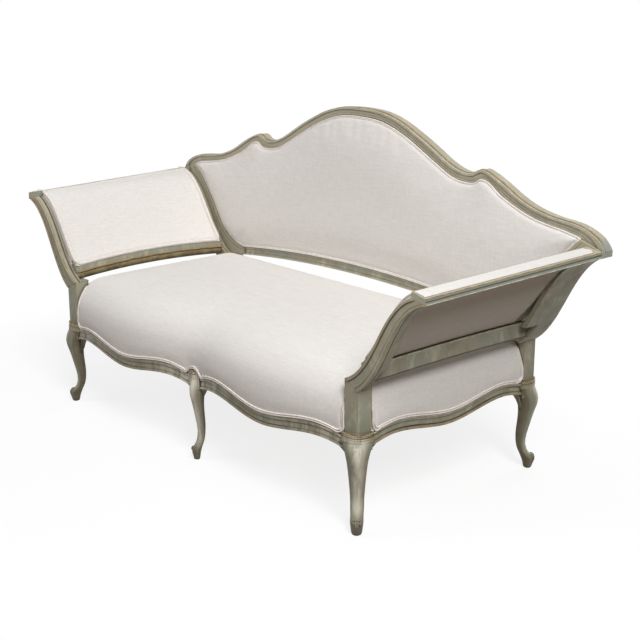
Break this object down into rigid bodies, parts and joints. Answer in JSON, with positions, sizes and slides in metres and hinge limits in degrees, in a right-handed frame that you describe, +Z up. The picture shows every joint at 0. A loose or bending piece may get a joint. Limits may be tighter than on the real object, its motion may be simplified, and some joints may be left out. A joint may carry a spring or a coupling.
{
  "type": "settee",
  "caption": "Settee with a painted carved frame, cabriole legs, a serpentine crest, outswept padded arms and a tight upholstered seat and back.",
  "frame": {"origin": "on the floor under the middle of the whole settee", "axes": "+X to the right of someone facing it, +Y to the back, +Z up"},
  "size_m": [1.944, 0.7686, 1.022],
  "materials": {
    "painted_frame": "distressed matt paint",
    "raw_wood": "bare sawn wood",
    "linen": "slubby off-white linen",
    "welt_cord": "off-white double cord",
    "canvas": "plain woven canvas",
    "webbing": "woven jute",
    "hair_stuffing": "packed hair",
    "spring_steel": "plain steel"
  },
  "bodies": {
    "root": {"front_left_leg": "painted_frame", "front_right_leg": "painted_frame", "rear_left_leg": "painted_frame", "rear_right_leg": "painted_frame", "front_centre_leg": "painted_frame", "rear_centre_leg": "painted_frame", "front_rail_left": "painted_frame", "front_rail_right": "painted_frame", "side_rail_left": "painted_frame", "side_rail_right": "painted_frame", "rear_rail_left": "painted_frame", "rear_rail_right": "painted_frame", "arm_stump_left": "painted_frame", "arm_stump_right": "painted_frame", "arm_upright_left": "painted_frame", "arm_upright_right": "painted_frame", "arm_top_rail_left": "painted_frame", "arm_top_rail_right": "painted_frame", "arm_lower_rail_left": "painted_frame", "arm_lower_rail_right": "painted_frame", "back_stile_left": "painted_frame", "back_stile_right": "painted_frame", "crest_rail_left": "painted_frame", "crest_rail_right": "painted_frame", "crest_rail_centre": "painted_frame", "back_bottom_rail": "painted_frame", "centre_stretcher": "raw_wood", "back_uprights": "raw_wood", "corner_blocks": "raw_wood", "frame_dowels": "raw_wood", "webbing_battens": "raw_wood", "seat_cover": "linen", "arm_pad_left": "linen", "arm_pad_right": "linen", "arm_outside_panel_left": "linen", "arm_outside_panel_right": "linen", "back_pad": "linen", "back_outside_panel": "linen", "seat_welt": "welt_cord", "arm_welt_left": "welt_cord", "arm_welt_right": "welt_cord", "back_welt": "welt_cord", "spring_canvas": "canvas", "back_canvas": "canvas", "dust_cover": "canvas", "seat_webbing_cross": "webbing", "seat_webbing_long": "webbing", "seat_stuffing": "hair_stuffing", "seat_springs": "spring_steel", "corner_block_screws": "spring_steel"}
  },
  "joints": []
}
